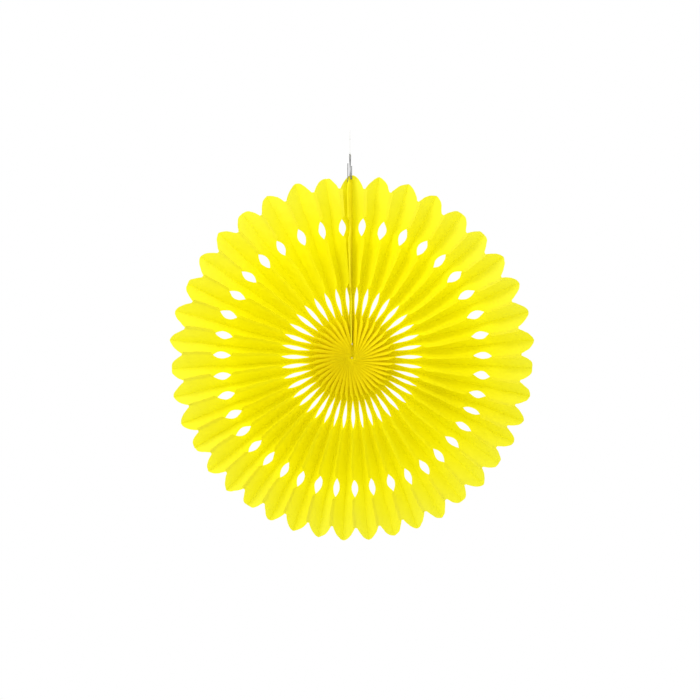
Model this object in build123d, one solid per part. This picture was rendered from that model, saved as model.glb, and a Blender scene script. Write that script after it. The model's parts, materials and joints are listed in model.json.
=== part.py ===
"""Tissue paper fan: a round pleated rosette hung by a thread from a paper clip.

The origin is the inside of the thread's hanging loop. +Z is up, and the fan faces -Y.
Angles round the fan run clockwise from 12 o'clock, as seen from the front.
"""

from build123d import *
import math
import os

# Fan, in millimetres and degrees
FAN_RADIUS = 200.0  # centre to the tip of a petal
PLEAT_COUNT = 41  # two leaves each, glued at the front edge
LEAF_THICKNESS = 0.12
HUB_RADIUS = 4.0  # inner end of the leaves
HUB_DEPTH = 22.0  # front glue line to back glue line, at the centre
RIM_DEPTH = 16.5  # the same at the rim, where the leaves are spread apart
FRONT_FLAP = 4.0  # glued strip that stands in front of the front glue line
BACK_FLAP = 2.5
PLEAT_GAP = 0.10  # air between two pleats, at the crease behind them

# Side outline of a leaf, as radii from the fan's centre
SLIT_INNER = 47.0
SLIT_OUTER = 77.0
SLIT_DEPTH = 12.5
HOLE_INNER = 132.0
HOLE_OUTER = 153.0
HOLE_DEPTH = 10.5
NOTCH_DROP = 19.0  # from the petal's tip in to the bottom of the V beside it
SHOULDER_DROP = 3.0  # from the petal's tip in to where its edge crosses half the depth

# Seam, with the stiff end cards that stand forward from it
CARD_THICKNESS = 0.5
CARD_GAP = 0.10
CARD_START = 16.0
CARD_LEAN = 5.5  # how far the front edge of the cards leans to the left at the rim
CARD_STEP = 5.0  # depth of the step in the right card that clears the clip's inner loop

# Thread that binds the inner ends of the leaves
BINDING_RADIUS = 8.0
BINDING_THREAD = 0.4
BINDING_HOLE = 1.2
BINDING_KNOT = 1.0

# Paper clip
CLIP_LENGTH = 33.0
CLIP_WIDTH = 8.0
CLIP_WIRE = 0.95
CLIP_GRIP = 7.0  # how far the clip reaches over the cards
CLIP_CLEARANCE = 0.35  # air between the wire and each card
CLIP_STEP = 1.4  # distance from the outer leg to the inner one
CLIP_INNER_RISE = 4.5  # height of the inner bend above the outer one
CLIP_FREE_LEG = 22.0
CLIP_INNER_LEG = 15.0
CLIP_BEND = 0.48  # radius of each bend, as a share of the leg spacing

# Hanging thread
THREAD = 0.45
HANG_LENGTH = 26.0  # inside of the loop to the top of the clip
LOOP_HEIGHT = 10.0
LOOP_WIDTH = 4.0
LOOP_NECK = 0.3
LOOP_CROWN = 0.8  # width of the loop's crown, as a share of its widest part
THREAD_BEND = 0.45  # length of each thread arc's tangent, as a share of its shorter run
KNOT = 1.5
TURN_GAP = 0.15
SPIN_GAP = 0.2

# Uneven spread of the pleats
SPREAD_TOP = 0.10  # more room at the top than at the bottom, where the weight closes them
SEAM_PINCH = 0.20
SIDE_PINCH = 0.15
SIDE_PINCH_ANGLE = 107.0
PINCH_WIDTH = 9.0


def bump(angle, centre):
    """1 at the centre angle, and near 0 a few pinch widths away."""
    apart = (angle - centre + 180.0) % 360.0 - 180.0
    return math.exp(-((apart / PINCH_WIDTH) ** 2))


def crease_angles():
    """Angle of each back crease, from the seam round to the seam again."""
    shares = []
    for number in range(PLEAT_COUNT):
        middle = 360.0 * (number + 0.5) / PLEAT_COUNT
        share = 1.0 + SPREAD_TOP * math.cos(math.radians(middle))
        share -= SEAM_PINCH * bump(middle, 0.0)
        share -= SIDE_PINCH * bump(middle, SIDE_PINCH_ANGLE)
        shares.append(share)
    return [360.0 * sum(shares[:n]) / sum(shares) for n in range(PLEAT_COUNT + 1)]


def petal_shoulder():
    """Radius where a petal's edge crosses half the depth, which is also the cards' top."""
    return FAN_RADIUS - SHOULDER_DROP


def half_depth(radius):
    """Half the distance between the front and back glue lines at a radius."""
    return (HUB_DEPTH + (RIM_DEPTH - HUB_DEPTH) * radius / FAN_RADIUS) / 2


def with_flat_faces(shape):
    """The same solid, with each of its flat faces a true plane."""
    faces = [Face(f.outer_wire()) if f.is_planar else f for f in shape.faces()]
    return Solid(Shell(faces))


def section(radius, points):
    """A flat outline square to the radius, from (tangential, depth) points."""
    return make_face(Plane.XY.offset(radius) * Polyline(*points, close=True))


def outline(tip_radius):
    """Side outline of a leaf or card, extruded across the pleat."""
    front_in = -(half_depth(HUB_RADIUS) + FRONT_FLAP)
    front_out = -(half_depth(FAN_RADIUS) + FRONT_FLAP)

    def front(radius):
        return -(half_depth(radius) + FRONT_FLAP)

    back = half_depth(0) + BACK_FLAP
    slit_middle = (SLIT_INNER + SLIT_OUTER) / 2
    hole_middle = (HOLE_INNER + HOLE_OUTER) / 2
    notch = FAN_RADIUS - NOTCH_DROP
    edge = [
        Line((front_in, HUB_RADIUS), (front(SLIT_INNER), SLIT_INNER)),
        ThreePointArc(
            (front(SLIT_INNER), SLIT_INNER),
            (front(slit_middle) + SLIT_DEPTH, slit_middle),
            (front(SLIT_OUTER), SLIT_OUTER),
        ),
        Line((front(SLIT_OUTER), SLIT_OUTER), (front(HOLE_INNER), HOLE_INNER)),
        ThreePointArc(
            (front(HOLE_INNER), HOLE_INNER),
            (front(hole_middle) + HOLE_DEPTH, hole_middle),
            (front(HOLE_OUTER), HOLE_OUTER),
        ),
        Line((front(HOLE_OUTER), HOLE_OUTER), (front_out, notch)),
        ThreePointArc((front_out, notch), (0, petal_shoulder()), (back, tip_radius)),
        Line((back, tip_radius), (back, HUB_RADIUS)),
        Line((back, HUB_RADIUS), (front_in, HUB_RADIUS)),
    ]
    # the sketch's X is the depth and its Y is the radius
    side = Plane(origin=(0, 0, 0), x_dir=(0, 1, 0), z_dir=(1, 0, 0))
    face = side * make_face(edge)
    pierced = side * Pos(0, BINDING_RADIUS) * Circle(BINDING_HOLE / 2)
    widest = FAN_RADIUS * math.tan(math.pi / PLEAT_COUNT)
    return extrude(face - pierced, amount=2 * widest + CARD_LEAN, both=True)


def leaf(spread, side, inset, start):
    """One tissue leaf, from the front line at 0 to a back crease `spread` degrees away."""
    reach = FAN_RADIUS + HUB_RADIUS
    ends = []
    for radius in (start, reach):
        back = radius * math.tan(math.radians(spread)) - inset
        depth = half_depth(radius)
        points = [
            (0, -depth - FRONT_FLAP),
            (LEAF_THICKNESS, -depth - FRONT_FLAP),
            (LEAF_THICKNESS, -depth),
            (back, depth),
            (back, depth + BACK_FLAP),
            (back - LEAF_THICKNESS, depth + BACK_FLAP),
            (back - LEAF_THICKNESS, depth),
            (0, -depth),
        ]
        ends.append(section(radius, [(side * t, y) for t, y in points]))
    return with_flat_faces(loft(ends, ruled=True))


def pleat(number, creases):
    """Two leaves glued face to face along their front flaps."""
    before, after = creases[number], creases[number + 1]
    middle = (before + after) / 2
    half = (after - before) / 2
    cutter = outline(FAN_RADIUS * math.cos(math.radians(half)))
    seam_inset = CARD_GAP + CARD_THICKNESS + PLEAT_GAP
    leaves = []
    for side in (-1, 1):
        beside_seam = (side < 0 and number == 0) or (
            side > 0 and number == PLEAT_COUNT - 1
        )
        inset = seam_inset if beside_seam else PLEAT_GAP / 2
        start = CARD_START if beside_seam else HUB_RADIUS
        cut = leaf(half, side, inset, start) & cutter
        leaves.append(Rot(0, middle, 0) * cut.solid())
    return leaves


def card(side):
    """A stiff end card, twisted from the hub to its leaning front edge at the rim."""
    ends = []
    reach = FAN_RADIUS + HUB_RADIUS
    near = side * CARD_GAP / 2
    far = side * (CARD_GAP / 2 + CARD_THICKNESS)
    for radius in (CARD_START, reach):
        depth = half_depth(radius)
        lean = -CARD_LEAN * radius / FAN_RADIUS
        front = -depth - FRONT_FLAP
        back = depth + BACK_FLAP
        points = [
            (near + lean, front),
            (far + lean, front),
            (far, depth),
            (far, back),
            (near, back),
            (near, depth),
        ]
        ends.append(section(radius, points))
    return with_flat_faces(loft(ends, ruled=True)) & outline(FAN_RADIUS)


def binding():
    """The ring of thread through the inner ends of the leaves, and its knot behind the seam."""
    ring = Rot(90, 0, 0) * Torus(BINDING_RADIUS, BINDING_THREAD / 2)
    knot = Pos(0, 0, BINDING_RADIUS) * Sphere(BINDING_KNOT / 2)
    return ring + knot


def round_tube(path, diameter):
    """A round bar along a path."""
    start = Plane(origin=path @ 0, z_dir=path % 0)
    return sweep(start * Circle(diameter / 2), path=path)


def clip_path():
    """Centre line of the clip's wire, with its top at 0 and the cards between its two loops."""
    apart = CARD_GAP / 2 + CARD_THICKNESS + CLIP_CLEARANCE + CLIP_WIRE / 2
    top = -CLIP_WIRE / 2
    bottom = -CLIP_LENGTH + CLIP_WIRE / 2
    inner_bottom = bottom + CLIP_INNER_RISE
    outer = CLIP_WIDTH / 2 - CLIP_WIRE / 2
    inner = outer - CLIP_STEP
    points = [
        (-apart, -outer, bottom + CLIP_FREE_LEG),
        (-apart, -outer, bottom),
        (-apart, outer, bottom),
        (0, outer, top),
        (0, -inner, top),
        (apart, -inner, inner_bottom),
        (apart, inner, inner_bottom),
        (apart, inner, inner_bottom + CLIP_INNER_LEG),
    ]
    bends = [2 * outer] * 2 + [outer + inner] * 2 + [2 * inner] * 2
    radii = [CLIP_BEND * width for width in bends]
    return FilletPolyline(*points, radius=radii)


def thread_path(start):
    """The thread from its lower end up to the knot and once round the loop, edge on from the front."""
    middle = -LOOP_HEIGHT / 2
    crown = THREAD / 2
    half = LOOP_WIDTH / 2
    points = [
        (0, 0, start),
        (0, 0, -LOOP_HEIGHT),
        (0, half, middle),
        (0, half * LOOP_CROWN, crown),
        (0, -half * LOOP_CROWN, crown),
        (0, -half, middle),
        (0, -LOOP_NECK, -LOOP_HEIGHT),
    ]
    radii = []
    for before, corner, after in zip(points, points[1:], points[2:]):
        arrive = Vector(*corner) - Vector(*before)
        leave = Vector(*after) - Vector(*corner)
        half_turn = math.radians(arrive.get_angle(leave)) / 2
        shorter = min(arrive.length, leave.length)
        radii.append(THREAD_BEND * shorter / math.tan(half_turn))
    print("thread radii, mm:", [round(r, 1) for r in radii])
    return FilletPolyline(*points, radius=radii)


def save(name, shape):
    """Write one node's solids."""
    if isinstance(shape, list):
        shape = Compound(children=shape)
    export_step(shape, f"parts/{name}.step")


os.makedirs("parts", exist_ok=True)

clip_top = -HANG_LENGTH
card_top = clip_top - CLIP_LENGTH + CLIP_GRIP
lean_slope = CARD_LEAN / (RIM_DEPTH + FRONT_FLAP)
fin_middle = -lean_slope * RIM_DEPTH / 2
fan_place = Pos(-fin_middle, 0, card_top - petal_shoulder())

creases = crease_angles()
for number in range(PLEAT_COUNT):
    placed = [fan_place * solid for solid in pleat(number, creases)]
    save(f"pleat_{number + 1:02d}", placed)

save("end_card_left", fan_place * card(-1))
clip_lean = Rot(0, 0, -math.degrees(math.atan(lean_slope)))
step_width = CLIP_WIDTH + 2 * CLIP_WIRE
step = Pos(0, 0, petal_shoulder()) * Box(CLIP_WIDTH, step_width, 2 * CARD_STEP)
save("end_card_right", fan_place * (card(1) - step))
save("centre_thread", fan_place * binding())

save("paper_clip", Pos(0, 0, clip_top) * clip_lean * round_tube(clip_path(), CLIP_WIRE))

wire_middle = clip_top - CLIP_WIRE / 2
turn_radius = CLIP_WIRE / 2 + TURN_GAP + THREAD / 2
turn = Pos(0, 0, wire_middle) * clip_lean * Rot(90, 0, 0) * Torus(turn_radius, THREAD / 2)
clip_knot_place = wire_middle + turn_radius + KNOT / 2
save("clip_knot", turn + Pos(0, 0, clip_knot_place) * Sphere(KNOT / 2))

thread_start = clip_knot_place + KNOT / 2 + SPIN_GAP
save("hanging_thread", round_tube(thread_path(thread_start), THREAD))
save("loop_knot", Pos(0, 0, -LOOP_HEIGHT) * Sphere(KNOT / 2))
print("crease angles:", [round(a, 1) for a in creases])
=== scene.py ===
"""A round tissue paper fan that hangs by a thread and a paper clip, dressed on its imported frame."""

import json
import logging
import math
from dataclasses import dataclass, field
from enum import Enum
from typing import Any, Callable, Optional, Sequence, Union

import bpy
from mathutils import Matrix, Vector


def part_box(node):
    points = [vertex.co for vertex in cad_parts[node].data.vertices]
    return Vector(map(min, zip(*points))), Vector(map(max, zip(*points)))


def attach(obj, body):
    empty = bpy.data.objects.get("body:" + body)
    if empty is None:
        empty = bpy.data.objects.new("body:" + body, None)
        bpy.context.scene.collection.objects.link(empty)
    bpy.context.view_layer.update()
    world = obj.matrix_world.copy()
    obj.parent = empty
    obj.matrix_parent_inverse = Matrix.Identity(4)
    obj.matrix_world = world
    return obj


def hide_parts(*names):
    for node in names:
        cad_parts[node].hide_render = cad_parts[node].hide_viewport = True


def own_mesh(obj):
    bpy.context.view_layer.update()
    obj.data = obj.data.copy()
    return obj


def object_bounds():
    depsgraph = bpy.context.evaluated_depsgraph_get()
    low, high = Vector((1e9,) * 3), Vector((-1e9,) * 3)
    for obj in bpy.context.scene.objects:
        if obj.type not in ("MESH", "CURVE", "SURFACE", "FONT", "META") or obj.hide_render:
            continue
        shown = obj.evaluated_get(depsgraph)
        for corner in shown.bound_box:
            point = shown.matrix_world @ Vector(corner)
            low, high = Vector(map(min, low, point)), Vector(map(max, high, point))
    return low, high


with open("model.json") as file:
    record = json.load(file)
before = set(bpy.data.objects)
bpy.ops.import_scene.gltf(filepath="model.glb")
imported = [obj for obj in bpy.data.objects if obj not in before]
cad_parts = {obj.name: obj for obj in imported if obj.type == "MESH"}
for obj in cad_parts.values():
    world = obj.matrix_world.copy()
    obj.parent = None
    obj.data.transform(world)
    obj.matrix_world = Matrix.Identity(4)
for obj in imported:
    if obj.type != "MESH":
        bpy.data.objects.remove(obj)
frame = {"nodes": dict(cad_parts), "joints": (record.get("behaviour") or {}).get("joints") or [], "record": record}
CAD_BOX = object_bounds()

log = logging.getLogger("paper_fan")
MM = 0.001
HUB_SHADE_MASK = "glue"
BLACK = (0.0, 0.0, 0.0)
WHITE = (1.0, 1.0, 1.0)
Number = Union[float, "Socket"]
Colour = tuple[float, float, float]
Bar = tuple[Sequence[Vector], float, bool]


class Side(Enum):
    """The two leaves of a pleat, by the way they run from the front edge."""

    BEFORE = -1
    AFTER = 1


class Coordinates(Enum):
    """Where a finish takes its pattern from."""

    OBJECT = "Object"
    SHEET = "UV"


class Socket:
    """An output socket in a node tree that does maths with Python's own operators."""

    def __init__(self, tree: "Tree", socket: bpy.types.NodeSocket) -> None:
        """Wrap one output.

        Args:
            tree: The tree that the socket belongs to.
            socket: The output itself.
        """
        self.tree = tree
        self.socket = socket

    def _math(self, operation: str, *values: Number) -> "Socket":
        """Add one Math node.

        Args:
            operation: The node's operation.
            values: Its inputs, in order.

        Returns:
            The node's result.
        """
        return self.tree.node("ShaderNodeMath", {"operation": operation}, dict(enumerate(values)))

    def __add__(self, other: Number) -> "Socket":
        """Sum."""
        return self._math("ADD", self, other)

    __radd__ = __add__

    def __sub__(self, other: Number) -> "Socket":
        """Difference."""
        return self._math("SUBTRACT", self, other)

    def __rsub__(self, other: Number) -> "Socket":
        """Difference, with this value taken away."""
        return self._math("SUBTRACT", other, self)

    def __mul__(self, other: Number) -> "Socket":
        """Product."""
        return self._math("MULTIPLY", self, other)

    __rmul__ = __mul__

    def __truediv__(self, other: Number) -> "Socket":
        """Quotient."""
        return self._math("DIVIDE", self, other)

    def __rtruediv__(self, other: Number) -> "Socket":
        """Quotient, with this value below."""
        return self._math("DIVIDE", other, self)

    def __pow__(self, other: Number) -> "Socket":
        """Power."""
        return self._math("POWER", self, other)

    def above(self, floor: Number) -> "Socket":
        """The larger of this value and a floor."""
        return self._math("MAXIMUM", self, floor)

    def below(self, ceiling: Number) -> "Socket":
        """The smaller of this value and a ceiling."""
        return self._math("MINIMUM", self, ceiling)

    def unit(self) -> "Socket":
        """The value held between 0 and 1."""
        return self.above(0.0).below(1.0)

    def sine(self) -> "Socket":
        """Sine of an angle in radians."""
        return self._math("SINE", self)

    def cosine(self) -> "Socket":
        """Cosine of an angle in radians."""
        return self._math("COSINE", self)

    def tangent(self) -> "Socket":
        """Tangent of an angle in radians."""
        return self._math("TANGENT", self)

    def ramp(self, start: Number, end: Number) -> "Socket":
        """A smooth rise from 0 at the start to 1 at the end."""
        values = {"Value": self, "From Min": start, "From Max": end}
        return self.tree.node("ShaderNodeMapRange", {"interpolation_type": "SMOOTHSTEP"}, values)


class Tree:
    """A node tree that is written as a list of calls."""

    def __init__(self, tree: bpy.types.NodeTree) -> None:
        """Wrap a tree.

        Args:
            tree: The shader or geometry tree that the nodes go into.
        """
        self.tree = tree

    def node(
        self,
        kind: str,
        settings: Optional[dict[str, Any]] = None,
        inputs: Optional[dict[Union[str, int], Any]] = None,
        output: Union[str, int] = 0,
    ) -> Socket:
        """Add one node of any type.

        Args:
            kind: The node's type name.
            settings: Its properties, such as a Math node's operation.
            inputs: Values or sockets, by the input's name or number.
            output: Which output to give back.

        Returns:
            The chosen output.
        """
        made = self.tree.nodes.new(kind)
        for name, value in (settings or {}).items():
            setattr(made, name, value)
        for name, value in (inputs or {}).items():
            self.feed(made.inputs[name], value)
        return Socket(self, made.outputs[output])

    def feed(self, target: bpy.types.NodeSocket, value: Any) -> None:
        """Set an input, or link it.

        Args:
            target: The input.
            value: A number, colour, material or another node's output.
        """
        if isinstance(value, Socket):
            self.tree.links.new(value.socket, target)
        elif isinstance(value, (list, tuple)) and any(isinstance(v, Socket) for v in value):
            if isinstance(value, list):
                for item in reversed(value):
                    self.tree.links.new(item.socket, target)
            else:
                self.feed(target, self.vector(*value))
        else:
            target.default_value = value

    def vector(self, x: Number, y: Number, z: Number) -> Socket:
        """Three numbers as one vector."""
        return self.node("ShaderNodeCombineXYZ", inputs={"X": x, "Y": y, "Z": z})

    def part_of(self, vector: Socket, axis: str) -> Socket:
        """One component of a vector."""
        return self.node("ShaderNodeSeparateXYZ", inputs={"Vector": vector}, output=axis)

    def vector_math(self, operation: str, *values: Any) -> Socket:
        """One Vector Math node."""
        inputs = dict(enumerate(values))
        return self.node("ShaderNodeVectorMath", {"operation": operation}, inputs)

    def scaled(self, vector: Socket, by: Number) -> Socket:
        """A vector times a number."""
        settings = {"operation": "SCALE"}
        return self.node("ShaderNodeVectorMath", settings, {"Vector": vector, "Scale": by})

    def mixed(self, share: Number, first: Any, second: Any) -> Socket:
        """Two colours mixed by a share."""
        settings = {"data_type": "RGBA"}
        return self.node("ShaderNodeMix", settings, {0: share, 6: first, 7: second}, output=2)

    def noise(self, vector: Socket, scale: float, detail: float = 2.0) -> Socket:
        """Soft noise from 0 to 1."""
        inputs = {"Vector": vector, "Scale": scale, "Detail": detail}
        return self.node("ShaderNodeTexNoise", None, inputs)


def linear(red: int, green: int, blue: int) -> Colour:
    """A display colour, 0 to 255, as the linear colour that a shader takes."""
    shares = (red / 255, green / 255, blue / 255)
    return tuple(s / 12.92 if s <= 0.04045 else ((s + 0.055) / 1.055) ** 2.4 for s in shares)


def rgba(colour: Colour) -> tuple[float, float, float, float]:
    """A colour with full alpha."""
    return (*colour, 1.0)


@dataclass(frozen=True)
class Finish:
    """What every finish shares: a name, and a Principled shader with its own pattern."""

    name: str

    def material(self) -> bpy.types.Material:
        """Build the material.

        Returns:
            The finished material.
        """
        made = bpy.data.materials.new(self.name)
        made.use_nodes = True
        made.node_tree.nodes.clear()
        tree = Tree(made.node_tree)
        out = made.node_tree.nodes.new("ShaderNodeOutputMaterial")
        tree.feed(out.inputs["Surface"], self.surface(tree))
        return made

    def surface(self, tree: Tree) -> Socket:
        """The finish's shader.

        Args:
            tree: The material's tree.

        Returns:
            The shader's output.
        """
        raise NotImplementedError

    @staticmethod
    def coordinates(tree: Tree, source: Coordinates) -> Socket:
        """Coordinates for a pattern."""
        return tree.node("ShaderNodeTexCoord", output=source.value)

    @staticmethod
    def bump(tree: Tree, height: Socket, distance: float, strength: float = 1.0) -> Socket:
        """A normal from a height between 0 and 1."""
        inputs = {"Height": height, "Distance": distance, "Strength": strength}
        return tree.node("ShaderNodeBump", None, inputs)


@dataclass(frozen=True)
class Tissue(Finish):
    """Thin dyed tissue: matt, crinkled, lit through from behind, with painted shade near the centre, a painted
    glow between the crowded leaves and a painted paler wash at the rim.
    """

    centre: tuple[float, float, float] = (0.0, 0.0, 0.0)
    deep: Colour = linear(250, 244, 10)
    bright: Colour = linear(254, 252, 24)
    glow: Colour = linear(255, 252, 16)
    hub_shade_colour: Colour = linear(250, 214, 8)
    hub_shade_fade: tuple[float, float] = (24 * MM, 62 * MM)
    painted_glow: Colour = linear(250, 242, 10)
    painted_glow_rise: tuple[float, float] = (-12 * MM, 34 * MM)
    painted_glow_fall: tuple[float, float] = (50 * MM, 115 * MM)
    painted_glow_strength: float = 0.065
    pale: Colour = linear(238, 240, 110)
    pale_rise: tuple[float, float] = (120 * MM, 205 * MM)
    through: float = 0.6
    cloud_scale: float = 55.0
    fibre_scale: float = 420.0
    fibre_stretch: float = 5.0
    crinkle_scale: float = 160.0
    relief_depth: float = 0.4 * MM

    def surface(self, tree: Tree) -> Socket:
        """Dyed paper mixed with the light that comes through it.

        Args:
            tree: The material's tree.

        Returns:
            The shader's output.
        """
        place = self.coordinates(tree, Coordinates.SHEET)
        stretched = tree.vector_math("MULTIPLY", place, (1.0, self.fibre_stretch, 1.0))
        cloud = tree.noise(place, self.cloud_scale, 4.0)
        fibres = tree.noise(stretched, self.fibre_scale, 3.0)
        crinkle = tree.noise(place, self.crinkle_scale, 5.0)
        shade = (cloud * 0.7 + fibres * 0.3).ramp(0.3, 0.7)
        dye = tree.mixed(shade, rgba(self.deep), rgba(self.bright))

        # distance from the fan's centre, and how near the front flap's free edge
        outward = tree.vector_math("SUBTRACT", self.coordinates(tree, Coordinates.OBJECT), self.centre)
        outward = tree.vector_math("MULTIPLY", outward, (1.0, 0.0, 1.0))
        away = tree.node("ShaderNodeVectorMath", {"operation": "LENGTH"}, {0: outward}, output="Value")
        strip = tree.node("ShaderNodeAttribute", {"attribute_name": HUB_SHADE_MASK}, output="Fac")
        # painted shade: near the centre the dye turns a deeper gold, most on the front flaps, standing in for the
        # shade between the crowded leaves
        glue = (strip * 0.6 + 0.4) * (1.0 - away.ramp(*self.hub_shade_fade))
        dye = tree.mixed(glue, dye, rgba(self.hub_shade_colour))
        # painted light: towards the rim the dye is washed paler and greyer, standing in for how the light falls on
        # the outer petals
        rim = away.ramp(*self.pale_rise) * (0.35 + shade * 0.4)
        dye = tree.mixed(rim, dye, rgba(self.pale))
        relief = self.bump(tree, crinkle * 0.75 + fibres * 0.25, self.relief_depth, 1.0)

        # painted glow: deep between the crowded leaves the paper glows a little, less on the front flaps, standing
        # in for the light that many layers pass on
        painted_glow = away.ramp(*self.painted_glow_rise) * (1.0 - away.ramp(*self.painted_glow_fall))
        painted_glow = painted_glow * (1.0 - strip * 0.6)
        paper = tree.node(
            "ShaderNodeBsdfPrincipled",
            None,
            {
                "Base Color": dye,
                "Roughness": 0.82,
                "Specular IOR Level": 0.12,
                "Emission Color": tree.mixed(painted_glow, rgba(BLACK), rgba(self.painted_glow)),
                "Emission Strength": self.painted_glow_strength,
                "Normal": relief,
            },
        )
        lit = tree.node(
            "ShaderNodeBsdfTranslucent", None, {"Color": rgba(self.glow), "Normal": relief}
        )
        return tree.node("ShaderNodeMixShader", None, {0: self.through, 1: paper, 2: lit})


@dataclass(frozen=True)
class Card(Finish):
    """Stiff dyed card with a faint felt of fibres."""

    deep: Colour = linear(240, 226, 10)
    bright: Colour = linear(250, 240, 18)
    felt_scale: float = 900.0
    cloud_scale: float = 60.0

    def surface(self, tree: Tree) -> Socket:
        """Matt card.

        Args:
            tree: The material's tree.

        Returns:
            The shader's output.
        """
        place = self.coordinates(tree, Coordinates.OBJECT)
        felt = tree.noise(place, self.felt_scale, 5.0)
        shade = (tree.noise(place, self.cloud_scale, 3.0) * 0.6 + felt * 0.4).ramp(0.3, 0.7)
        inputs = {
            "Base Color": tree.mixed(shade, rgba(self.deep), rgba(self.bright)),
            "Roughness": 0.75 + felt * 0.15,
            "Specular IOR Level": 0.2,
            "Normal": self.bump(tree, felt, 0.05 * MM, 0.6),
        }
        return tree.node("ShaderNodeBsdfPrincipled", None, inputs)


@dataclass(frozen=True)
class Wire(Finish):
    """Bright plated steel wire with drawing marks and a little wear."""

    bright: Colour = (0.24, 0.24, 0.235)
    dull: Colour = (0.07, 0.07, 0.068)
    mark_scale: float = 900.0
    wear_scale: float = 500.0

    def surface(self, tree: Tree) -> Socket:
        """Polished plating.

        Args:
            tree: The material's tree.

        Returns:
            The shader's output.
        """
        place = self.coordinates(tree, Coordinates.OBJECT)
        drawn = tree.vector_math("MULTIPLY", place, (6.0, 6.0, 0.6))
        marks = tree.noise(drawn, self.mark_scale, 3.0)
        wear = tree.noise(place, self.wear_scale, 3.0).ramp(0.45, 0.75)
        inputs = {
            "Base Color": tree.mixed(wear, rgba(self.bright), rgba(self.dull)),
            "Metallic": 1.0,
            "Roughness": 0.16 + marks * 0.14 + wear * 0.1,
            "Normal": self.bump(tree, marks, 0.01 * MM, 0.5),
        }
        return tree.node("ShaderNodeBsdfPrincipled", None, inputs)


@dataclass(frozen=True)
class Thread(Finish):
    """Fine twisted cotton."""

    light: Colour = linear(238, 238, 234)
    dark: Colour = linear(206, 206, 200)
    twist: float = 0.9 * MM
    twist_slant: float = 0.8
    fuzz_scale: float = 4000.0

    def surface(self, tree: Tree) -> Socket:
        """Cotton with painted shade in the grooves of its twist.

        Args:
            tree: The material's tree.

        Returns:
            The shader's output.
        """
        place = self.coordinates(tree, Coordinates.OBJECT)
        along = tree.part_of(place, "Z") + tree.part_of(place, "X") * self.twist_slant
        # painted shade: the colour darkens in bands along the twist, where the grooves between the strands lie
        strands = ((along * (2 * math.pi / self.twist)).sine() + 1.0) * 0.5
        fuzz = tree.noise(place, self.fuzz_scale, 3.0)
        shade = strands * 0.7 + fuzz * 0.3
        inputs = {
            "Base Color": tree.mixed(shade, rgba(self.dark), rgba(self.light)),
            "Roughness": 0.8 + fuzz * 0.1,
            "Specular IOR Level": 0.2,
            "Normal": self.bump(tree, strands, 0.04 * MM, 0.8),
        }
        return tree.node("ShaderNodeBsdfPrincipled", None, inputs)


@dataclass(frozen=True)
class Plaster(Finish):
    """Plain pale floor."""

    colour: Colour = (0.86, 0.86, 0.86)

    def surface(self, tree: Tree) -> Socket:
        """Matt white."""
        inputs = {"Base Color": rgba(self.colour), "Roughness": 0.95, "Specular IOR Level": 0.1}
        return tree.node("ShaderNodeBsdfPrincipled", None, inputs)


CARD = Card("yellow_card")
WIRE = Wire("plated_wire")
WHITE_THREAD = Thread("white_cotton")
YELLOW_THREAD = Thread("yellow_cotton", light=linear(226, 200, 40), dark=linear(186, 158, 20))
FLOOR = Plaster("pale_floor")


def joint(name: str) -> dict[str, Any]:
    """One of the frame's joints, by its name."""
    return next(found for found in frame["joints"] if found["name"] == name)


def new_object(name: str, mesh: bpy.types.ID) -> bpy.types.Object:
    """Put a mesh, curve, light or camera in the scene, at the origin.

    Args:
        name: The object's name.
        mesh: What it holds.

    Returns:
        The new object.
    """
    made = bpy.data.objects.new(name, mesh)
    bpy.context.scene.collection.objects.link(made)
    return made


def dress(piece: bpy.types.Object, material: bpy.types.Material) -> None:
    """Give a piece one material."""
    piece.data.materials.clear()
    piece.data.materials.append(material)


def baked(piece: bpy.types.Object) -> bpy.types.Object:
    """Turn a piece's modifiers into its plain mesh.

    Args:
        piece: An object with modifiers.

    Returns:
        The same object, with no modifiers left.
    """
    graph = bpy.context.evaluated_depsgraph_get()
    mesh = bpy.data.meshes.new_from_object(piece.evaluated_get(graph))
    mesh.name = piece.name
    piece.modifiers.clear()
    old = piece.data
    piece.data = mesh
    bpy.data.meshes.remove(old)
    return piece


@dataclass(frozen=True)
class Notch:
    """A notch cut into the folded edge of the tissue, so that it opens as a hole."""

    start: float
    widest: float
    end: float
    depth: float
    inner_curve: float
    outer_curve: float

    def cut(self, radius: Socket) -> Socket:
        """How far the notch reaches into the sheet at a radius.

        Args:
            radius: The distance from the fan's centre.

        Returns:
            The depth, never under 0.
        """
        inner = ((self.widest - radius) / (self.widest - self.start)).unit()
        outer = ((radius - self.widest) / (self.end - self.widest)).unit()
        shape = (1.0 - inner**2.0) ** self.inner_curve * (1.0 - outer**2.0) ** self.outer_curve
        return shape * self.depth


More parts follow.
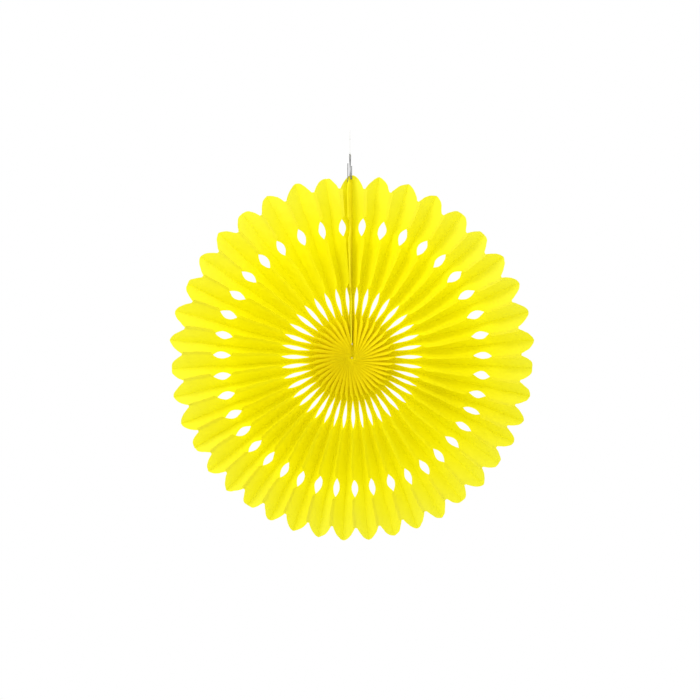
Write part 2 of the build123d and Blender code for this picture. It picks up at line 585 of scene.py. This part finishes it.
@dataclass
class PleatedFan:
    """The tissue leaves, two to a pleat, each pleat a piece of its own."""

    body: str = "fan"
    fold_joint: str = "fan_fold"
    radius: float = 200 * MM
    hub_radius: float = 0.4 * MM
    card_start: float = 16 * MM
    hub_depth: float = 22 * MM
    rim_depth: float = 16.5 * MM
    front_flap: float = 4.0 * MM
    back_flap: float = 2.5 * MM
    thickness: float = 0.06 * MM
    pleat_gap: float = 0.10 * MM
    card_room: float = 0.6 * MM
    notch_radius: float = 184.3 * MM
    petal_curve: float = 2.1
    petal_step: float = 0.17
    petal_snap: float = 40.0
    heart: float = 2.4 * MM
    heart_from: float = 0.5
    heart_chance: tuple[float, float] = (0.54, 0.64)
    slit: Notch = Notch(30 * MM, 63 * MM, 82 * MM, 12.3 * MM, inner_curve=4.0, outer_curve=1.5)
    hole: Notch = Notch(130 * MM, 142.5 * MM, 155 * MM, 11.6 * MM, inner_curve=1.2, outer_curve=1.2)
    flap_lean: float = math.radians(52)
    hub_lean: float = math.radians(58)
    hub_leans_to: tuple[float, float] = (20 * MM, 90 * MM)
    body_columns: int = 140
    tip_columns: int = 26
    flap_rows: int = 3
    leaf_rows: int = 12
    back_rows: int = 1
    slack: tuple[float, float] = (0.12, 0.55)
    lean_wander: float = 1.2
    leaf_stand: float = 0.55
    belly: float = 3.0 * MM
    belly_bias: float = 0.42
    weld: float = 0.02 * MM
    sway: float = 4.0 * MM
    sway_scale: float = 26.0
    crinkle: float = 1.3 * MM
    crinkle_scale: float = 120.0
    crease_angle: float = math.radians(28)
    seed: float = 7.0

    def front_angles(self) -> list[float]:
        """Angle of each pleat's front edge, clockwise from 12 o'clock.

        Returns:
            One angle for each pleat, in radians, from how far each follows the fold.
        """
        couplings = frame["record"]["behaviour"]["couplings"]
        return [2 * math.pi * (1 - c["ratio"]) for c in couplings if c["follows"] == self.fold_joint]

    def centre(self) -> Vector:
        """The fan's centre, which the fold turns about."""
        return Vector(joint(self.fold_joint)["pos_m"])

    def kept_when_folded(self) -> float:
        """Share of its spread that a pleat keeps when the fan is folded."""
        return 1 - joint(self.fold_joint)["range_deg"][1] / 360

    def tree(self) -> bpy.types.NodeTree:
        """The rule that shapes one leaf from its angles.

        Returns:
            A geometry tree with named inputs.
        """
        group = bpy.data.node_groups.new("tissue_leaf", "GeometryNodeTree")
        group.interface.new_socket("Geometry", in_out="INPUT", socket_type="NodeSocketGeometry")
        group.interface.new_socket("Geometry", in_out="OUTPUT", socket_type="NodeSocketGeometry")
        for name in ("Front Angle", "Spread", "Number", "Lean", "Hub Lean"):
            group.interface.new_socket(name, in_out="INPUT", socket_type="NodeSocketFloat")
        for side in Side:
            for name in ("Inset", "Held"):
                label = f"{name} {side.name.title()}"
                group.interface.new_socket(label, in_out="INPUT", socket_type="NodeSocketFloat")
        group.interface.new_socket("Centre", in_out="INPUT", socket_type="NodeSocketVector")
        group.interface.new_socket("Finish", in_out="INPUT", socket_type="NodeSocketMaterial")
        tree = Tree(group)
        given = group.nodes.new("NodeGroupInput")

        def value(name: str) -> Socket:
            """One of the tree's inputs."""
            return Socket(tree, given.outputs[name])

        leaves = [self.leaf(tree, value, side) for side in Side]
        both = tree.node("GeometryNodeJoinGeometry", None, {"Geometry": leaves})
        inputs = {"Geometry": both, "Shade Smooth": True}
        smooth = tree.node("GeometryNodeSetShadeSmooth", None, inputs)
        real = tree.node("GeometryNodeRealizeInstances", None, {"Geometry": smooth})
        inputs = {"Geometry": real, "Material": value("Finish")}
        done = tree.node("GeometryNodeSetMaterial", None, inputs)
        out = group.nodes.new("NodeGroupOutput")
        tree.feed(out.inputs["Geometry"], done)
        return group

    def leaf(self, tree: Tree, value: Callable[[str], Socket], side: Side) -> Socket:
        """The nodes that shape one leaf.

        Args:
            tree: The tree that they go into.
            value: Gives one of the tree's inputs by its name.
            side: Which of the pleat's two leaves it is.

        Returns:
            The leaf's mesh.
        """
        columns = self.body_columns + self.tip_columns
        rows = self.flap_rows + self.leaf_rows + self.back_rows
        grid = tree.node(
            "GeometryNodeMeshGrid",
            None,
            {"Size X": columns, "Size Y": rows, "Vertices X": columns + 1, "Vertices Y": rows + 1},
        )
        place = tree.node("GeometryNodeInputPosition")
        column = tree.part_of(place, "X") + columns / 2
        row = tree.part_of(place, "Y") + rows / 2

        # radius of each column, closer together where the petal's edge turns in
        start = self.hub_radius
        along = (column / self.body_columns).below(1.0)
        past = ((column - self.body_columns) / self.tip_columns).unit()
        tip_share = 1.0 - (1.0 - past) ** 2.0
        radius = start + along * (self.notch_radius - start)
        radius = radius + tip_share * (self.radius - self.notch_radius)

        # distance across the sheet of each row, from the front flap's free edge
        width = self.hub_depth
        across = (row / self.flap_rows).unit() * self.front_flap
        across = across + ((row - self.flap_rows) / self.leaf_rows).unit() * width
        last = ((row - self.flap_rows - self.leaf_rows) / self.back_rows).unit()
        across = across + last * self.back_flap
        cut = self.slit.cut(radius).above(self.hole.cut(radius))
        whole = self.front_flap + width + self.back_flap
        turned_in = 1.0 - (1.0 - tip_share) ** (1 / self.petal_curve)
        first = (tip_share * self.petal_snap).unit() * self.petal_step
        tip_cut = (first + turned_in * (1.0 - self.petal_step)) * whole
        across = across.above(cut.above(tip_cut))

        # the folded shape: flap, sloping leaf and back margin
        flap = (self.front_flap - across).above(0.0)
        slope = ((across - self.front_flap) / width).unit()
        margin = (across - self.front_flap - width).above(0.0)
        outward = radius / self.radius
        depth = (outward * (self.rim_depth - self.hub_depth) + self.hub_depth) * 0.5
        room = value(f"Inset {side.name.title()}") - self.pleat_gap / 2
        inset = radius.ramp(self.card_start * 0.7, self.card_start) * room + self.pleat_gap / 2
        reach = (radius * value("Spread").tangent() - inset).above(self.thickness)
        free = outward.ramp(*self.slack)
        held = value(f"Held {side.name.title()}")
        wander_at = tree.vector(outward * 3.0, value("Number") * 7.3, 0.5)
        wander = tree.noise(wander_at, 1.0, 1.0) - 0.5
        lean = value("Lean") * free * (1.0 + wander * self.lean_wander)
        lean = lean + value("Hub Lean") * (1.0 - radius.ramp(*self.hub_leans_to))
        on_flap = (flap / (0.01 * MM)).unit()
        apart = side.value * self.thickness * self.leaf_stand
        turned = lean * on_flap
        tangential = flap * lean.sine() + turned.cosine() * apart + reach * slope * side.value
        deep = turned.sine() * apart - flap * lean.cosine() + (slope * 2.0 - 1.0) * depth + margin

        # the leaf bellies a little between its creases
        belly_at = tree.vector(outward * 4.0, value("Number") * 3.1 + side.value * 11.0, slope)
        belly = (tree.noise(belly_at, 1.0, 2.0) - self.belly_bias) * (slope * math.pi).sine() * free
        tangential = tangential + belly * (side.value * self.belly)

        # some petals dip at the crease
        crease = value("Number") + (side.value + 1) / 2
        chance = tree.noise(tree.vector(crease * 5.1, 0.0, 2.5), 1.0, 0.0).ramp(*self.heart_chance)
        dip = slope.ramp(self.heart_from, 1.0) * chance * (1.0 - held)
        radius = radius - dip * tip_share * self.heart

        # turn it to its place on the fan, and let the paper sway and crinkle
        front = value("Front Angle")
        x = tangential * front.cosine() + radius * front.sine()
        z = radius * front.cosine() - tangential * front.sine()
        spot = tree.vector_math("ADD", tree.vector(x, deep, z), value("Centre"))
        for scale, size in ((self.sway_scale, self.sway), (self.crinkle_scale, self.crinkle)):
            inputs = {"Vector": tree.vector_math("ADD", spot, (self.seed, 0.0, 0.0)), "Scale": scale}
            soft = tree.node("ShaderNodeTexNoise", None, inputs, output="Color")
            shift = tree.vector_math("SUBTRACT", soft, (0.5, 0.5, 0.5))
            loose = free * (1.0 - slope * held)
            spot = tree.vector_math("ADD", spot, tree.scaled(shift, loose * size))
        shaped = tree.node("GeometryNodeSetPosition", None, {"Geometry": grid, "Position": spot})
        sheet = tree.vector(radius + value("Number") * 0.37, across + side.value * 0.11, 0.0)
        mapped = tree.node(
            "GeometryNodeStoreNamedAttribute",
            {"data_type": "FLOAT2", "domain": "CORNER"},
            {"Geometry": shaped, "Name": "UVMap", "Value": sheet},
        )
        # the front flap's share, kept as a mask for the painted shade near the centre
        strip = {"Geometry": mapped, "Name": HUB_SHADE_MASK, "Value": flap / self.front_flap}
        mapped = tree.node("GeometryNodeStoreNamedAttribute", {"domain": "POINT"}, strip)
        inputs = {"Geometry": mapped, "Distance": self.weld}
        return tree.node("GeometryNodeMergeByDistance", None, inputs)

    def build(self) -> list[bpy.types.Object]:
        """Make every pleat and tie it to its body.

        Returns:
            The pleats, clockwise from the seam.
        """
        group = self.tree()
        fronts = self.front_angles()
        centre = self.centre()
        finish = Tissue("yellow_tissue", centre=tuple(centre)).material()
        pieces = []
        crease = 0.0
        for number, front in enumerate(fronts):
            spread = front - crease
            at_seam = {Side.BEFORE: number == 0, Side.AFTER: number == len(fronts) - 1}
            values = {"Front Angle": front, "Spread": spread, "Number": float(number)}
            values.update({"Lean": self.flap_lean, "Centre": centre, "Finish": finish})
            values["Hub Lean"] = 0.0 if at_seam[Side.AFTER] else self.hub_lean
            for side in Side:
                beside = at_seam[side]
                label = side.name.title()
                values[f"Inset {label}"] = self.card_room if beside else self.pleat_gap / 2
                values[f"Held {label}"] = float(beside)
            node = f"pleat_{number + 1:02d}"
            piece = self.pleat(f"tissue_{node}", group, values)
            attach(piece, f"body_{node}")
            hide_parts(node)
            self.kept_when_folded()
            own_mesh(piece)
            pieces.append(piece)
            crease = front + spread
        log.info("tissue: %d pleats, %d faces each", len(fronts), len(pieces[0].data.polygons))
        return pieces

    def pleat(self, name: str, group: bpy.types.NodeTree, values: dict[str, Any]) -> bpy.types.Object:
        """Make one pleat as a plain mesh.

        Args:
            name: The piece's name.
            group: The rule that shapes it.
            values: The rule's inputs, by name.

        Returns:
            The pleat, with real thickness and sharp creases.
        """
        piece = new_object(name, bpy.data.meshes.new(name))
        rule = piece.modifiers.new("leaves", "NODES")
        rule.node_group = group
        for item in group.interface.items_tree:
            if item.in_out == "INPUT" and item.name in values:
                rule[item.identifier] = values[item.name]
        wall = piece.modifiers.new("paper", "SOLIDIFY")
        wall.thickness = self.thickness
        wall.offset = 0.0
        baked(piece)
        piece.data.set_sharp_from_angle(angle=self.crease_angle)
        return piece


def tube(points: Sequence[Vector], radius: float, closed: bool, sides: int = 10) -> tuple[list, list]:
    """A round bar along points.

    Args:
        points: Its centre line.
        radius: Its radius.
        closed: True if the line joins up with its own start.
        sides: Faces round the bar.

    Returns:
        The vertices and the faces.
    """
    count = len(points)
    vertices, faces = [], []
    normal = Vector((0.0, 0.0, 0.0))
    for number, point in enumerate(points):
        after = points[(number + 1) % count] if closed or number < count - 1 else point
        before = points[number - 1] if closed or number else point
        along = (after - before).normalized()
        if number == 0:
            normal = along.orthogonal().normalized()
        normal = (normal - along * normal.dot(along)).normalized()
        side = along.cross(normal)
        for step in range(sides):
            angle = 2 * math.pi * step / sides
            vertices.append(point + (normal * math.cos(angle) + side * math.sin(angle)) * radius)
    # where a closed bar meets its start, its last ring is turned to match the first
    turn = 0
    if closed:
        last = vertices[-sides:]
        gaps = []
        for shift in range(sides):
            gaps.append(sum((last[s] - vertices[(s + shift) % sides]).length for s in range(sides)))
        turn = gaps.index(min(gaps))
    for number in range(count if closed else count - 1):
        following = (number + 1) % count
        offset = turn if following == 0 else 0
        for step in range(sides):
            faces.append(
                (
                    number * sides + step,
                    number * sides + (step + 1) % sides,
                    following * sides + (step + 1 + offset) % sides,
                    following * sides + (step + offset) % sides,
                )
            )
    if not closed:
        faces.append(tuple(reversed(range(sides))))
        faces.append(tuple(range((count - 1) * sides, count * sides)))
    return vertices, faces


def bars(name: str, lines: Sequence[Bar]) -> bpy.types.Object:
    """One piece from several round bars.

    Args:
        name: The piece's name.
        lines: The centre line, radius and whether it is closed, for each bar.

    Returns:
        The piece.
    """
    vertices, faces = [], []
    for points, radius, closed in lines:
        more, quads = tube(points, radius, closed)
        faces += [tuple(v + len(vertices) for v in face) for face in quads]
        vertices += more
    mesh = bpy.data.meshes.new(name)
    mesh.from_pydata([tuple(v) for v in vertices], [], faces)
    for face in mesh.polygons:
        face.use_smooth = True
    mesh.update()
    return new_object(name, mesh)


@dataclass
class Strands:
    """The hanging thread, its knots, and the thread that binds the fan's centre."""

    length: float = 34 * MM
    diameter: float = 0.45 * MM
    loop_half_width: float = 2.0 * MM
    loop_height: float = 10.0 * MM
    loop_neck: float = 0.3 * MM
    crown_share: float = 0.8
    knot_size: float = 1.5 * MM
    knot_bulk: float = 1.6
    strand: float = 0.21 * MM
    turn_spacing: float = 1.05
    binding_strand: float = 0.2 * MM
    binding_knot: float = 1.0 * MM
    knot_steps: int = 72
    ring_steps: int = 72

    def knot(self, middle: Vector, size: float, strand: float) -> Bar:
        """The line of a pulled-tight overhand knot.

        Args:
            middle: Its centre.
            size: Its overall width.
            strand: The thread's radius.

        Returns:
            A closed bar for bars().
        """
        points = []
        scale = (size / 2 - strand) / 3
        for step in range(self.knot_steps):
            t = 2 * math.pi * step / self.knot_steps
            x = math.sin(t) + 2 * math.sin(2 * t)
            z = math.cos(t) - 2 * math.cos(2 * t)
            y = -math.sin(3 * t) * self.knot_bulk
            points.append(middle + Vector((x, y, z)) * scale)
        return points, strand, True

    def ring(self, middle: Vector, axis: Vector, radius: float, strand: float) -> Bar:
        """A closed ring of thread about an axis.

        Args:
            middle: Its centre.
            axis: The direction that it goes round.
            radius: The radius of its centre line.
            strand: The thread's radius.

        Returns:
            A closed bar for bars().
        """
        first = axis.orthogonal().normalized()
        second = axis.normalized().cross(first)
        points = []
        for step in range(self.ring_steps):
            angle = 2 * math.pi * step / self.ring_steps
            points.append(middle + (first * math.cos(angle) + second * math.sin(angle)) * radius)
        return points, strand, True

    def cord(self) -> bpy.types.Object:
        """The thread, from above the clip's knot and once round the hanging loop.

        Returns:
            The thread, as a curve.
        """
        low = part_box("hanging_thread")[0].z
        crown = self.diameter / 2
        half = self.loop_half_width
        middle = -self.loop_height / 2
        route = (
            (0.0, 0.0, low),
            (0.0, 0.0, -self.loop_height),
            (0.0, half, middle),
            (0.0, half * self.crown_share, crown),
            (0.0, -half * self.crown_share, crown),
            (0.0, -half, middle),
            (0.0, -self.loop_neck, -self.loop_height),
        )
        curve = bpy.data.curves.new("hanging_cord", "CURVE")
        curve.dimensions = "3D"
        curve.bevel_depth = self.diameter / 2
        curve.bevel_resolution = 4
        curve.resolution_u = 16
        curve.use_fill_caps = True
        spline = curve.splines.new("NURBS")
        spline.points.add(len(route) - 1)
        for point, place in zip(spline.points, route):
            point.co = (*place, 1.0)
        spline.order_u = 3
        spline.use_endpoint_u = True
        return new_object("hanging_cord", curve)

    def build(self) -> None:
        """Make every thread and tie it to its body."""
        white, yellow = WHITE_THREAD.material(), YELLOW_THREAD.material()
        cord = self.cord()
        dress(cord, white)
        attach(cord, "hanging_loop")
        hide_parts("hanging_thread")

        low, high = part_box("loop_knot")
        top_knot = bars("loop_knot_thread", [self.knot((low + high) / 2, self.knot_size, self.strand)])
        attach(top_knot, "hanging_loop")
        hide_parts("loop_knot")

        low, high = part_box("clip_knot")
        above = Vector((0.0, 0.0, high.z - self.knot_size / 2))
        swing = joint("hang_swing")
        wire, axis = Vector(swing["pos_m"]), Vector(swing["axis"])
        radius = wire.z - low.z - self.diameter / 2
        turns = [
            self.ring(wire + axis * (self.strand * offset), axis, radius, self.strand)
            for offset in (-self.turn_spacing, self.turn_spacing)
        ]
        lower_knot = bars("clip_tie", turns + [self.knot(above, self.knot_size, self.strand)])
        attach(lower_knot, "thread_tie")
        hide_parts("clip_knot")
        for piece in (top_knot, lower_knot):
            dress(piece, white)

        low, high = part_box("centre_thread")
        middle = Vector(((low.x + high.x) / 2, 0.0, low.z + (high.x - low.x) / 2))
        radius = (high.x - low.x) / 2 - self.binding_strand
        loop = self.ring(middle, Vector((0.0, 1.0, 0.0)), radius, self.binding_strand)
        top = middle + Vector((0.0, 0.0, radius))
        knot = self.knot(top, self.binding_knot, self.binding_strand * 0.6)
        binding = bars("hub_binding", [loop, knot])
        dress(binding, yellow)
        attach(binding, "fan")
        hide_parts("centre_thread")
        log.info("threads: the hanging thread, two knots and the binding")


@dataclass
class Hardware:
    """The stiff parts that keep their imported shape: the end cards and the paper clip."""

    def build(self) -> None:
        """Give each its finish."""
        card, wire = CARD.material(), WIRE.material()
        for name in ("end_card_left", "end_card_right"):
            dress(frame["nodes"][name], card)
        dress(frame["nodes"]["paper_clip"], wire)
        log.info("hardware: two end cards and the paper clip")


@dataclass(frozen=True)
class Lamp:
    """A soft square lamp that points at the fan."""

    name: str
    place: tuple[float, float, float]
    size: float
    power: float

    def build(self, target: Vector) -> None:
        """Put the lamp in the scene.

        Args:
            target: What it points at.
        """
        light = bpy.data.lights.new(self.name, "AREA")
        light.shape = "SQUARE"
        light.size = self.size
        light.energy = self.power
        made = new_object(self.name, light)
        made.location = Vector(self.place)
        aim = target - made.location
        made.rotation_euler = aim.to_track_quat("-Z", "Y").to_euler()


@dataclass
class Studio:
    """Floor, light and camera."""

    frame_width: float = 765 * MM
    distance: float = 3.0
    sensor: float = 36.0
    view_centre: Vector = field(default_factory=lambda: Vector((0.0001, 0.0, -0.2403)))
    floor_drop: float = 0.55
    floor_size: float = 3.0
    surround: float = 1.0
    lamps: tuple[Lamp, ...] = (
        Lamp("key_above", (-0.75, -0.85, 0.65), 0.6, 7.5),
        Lamp("fill_front", (0.3, -3.2, 0.1), 1.6, 2.0),
    )

    def camera(self) -> None:
        """Look straight at the fan through a long lens."""
        lens = bpy.data.cameras.new("camera")
        lens.sensor_width = self.sensor
        lens.lens = self.sensor * self.distance / self.frame_width
        lens.clip_end = 100.0
        made = new_object("camera", lens)
        made.location = self.view_centre + Vector((0.0, -self.distance, 0.0))
        made.rotation_euler = (math.pi / 2, 0.0, 0.0)
        bpy.context.scene.camera = made

    def floor(self) -> None:
        """A plain pale floor below the fan."""
        half = self.floor_size / 2
        height = CAD_BOX[0][2] - self.floor_drop
        square = ((-half, -half), (half, -half), (half, half), (-half, half))
        corners = [(x, y, height) for x, y in square]
        mesh = bpy.data.meshes.new("floor")
        mesh.from_pydata(corners, [], [(0, 1, 2, 3)])
        piece = new_object("floor", mesh)
        dress(piece, FLOOR.material())

    def surroundings(self) -> None:
        """An even white room."""
        world = bpy.data.worlds.new("white_room")
        world.use_nodes = True
        world.node_tree.nodes.clear()
        tree = Tree(world.node_tree)
        inputs = {"Color": rgba(WHITE), "Strength": self.surround}
        glow = tree.node("ShaderNodeBackground", None, inputs)
        out = world.node_tree.nodes.new("ShaderNodeOutputWorld")
        tree.feed(out.inputs["Surface"], glow)
        bpy.context.scene.world = world

    def build(self) -> None:
        """Set up the camera, then the rest."""
        self.camera()
        self.floor()
        self.surroundings()
        for lamp in self.lamps:
            lamp.build(self.view_centre)
        bpy.context.scene.view_settings.view_transform = "Standard"
        log.info("studio: floor, light and camera")


def main() -> None:
    """Build the fan and the room round it."""
    logging.basicConfig(level=logging.INFO, format="%(message)s")
    Studio().build()
    Strands().build()
    Hardware().build()
    PleatedFan().build()


if __name__ == "__main__":
    main()
